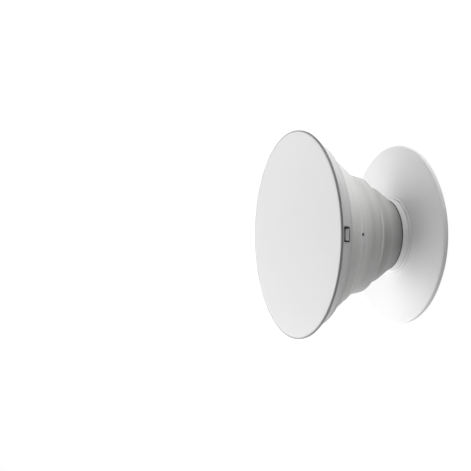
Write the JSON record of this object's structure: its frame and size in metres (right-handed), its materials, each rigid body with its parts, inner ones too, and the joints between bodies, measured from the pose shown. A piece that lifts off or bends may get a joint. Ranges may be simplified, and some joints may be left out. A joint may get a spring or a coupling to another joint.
{
  "type": "collapsible phone grip",
  "caption": "Round stick-on phone grip: a flat finger button on a soft stepped accordion that folds down onto a thin round base.",
  "frame": {"origin": "middle of the adhesive pad's underside", "axes": "+Z from the pad to the button along the axis of the grip, -Y towards one of the snap windows and the vent, grip pulled out"},
  "size_m": [0.04, 0.04, 0.0236],
  "materials": {
    "foam_tape": "tacky foam tape",
    "base_plastic": "satin moulded",
    "soft_elastomer": "soft matt moulded",
    "ring_plastic": "satin moulded",
    "button_plastic": "smooth moulded"
  },
  "bodies": {
    "stuck_base": {"base": "base_plastic", "adhesive_pad": "foam_tape", "accordion": "soft_elastomer"},
    "button": {"button_cap": "button_plastic", "retainer_ring": "ring_plastic"}
  },
  "joints": [
    {"name": "collapse", "type": "slide", "parent": "stuck_base", "child": "button", "axis": [0, 0, -1], "range_m": [0, 0.0175], "deforming": ["accordion"]}
  ]
}
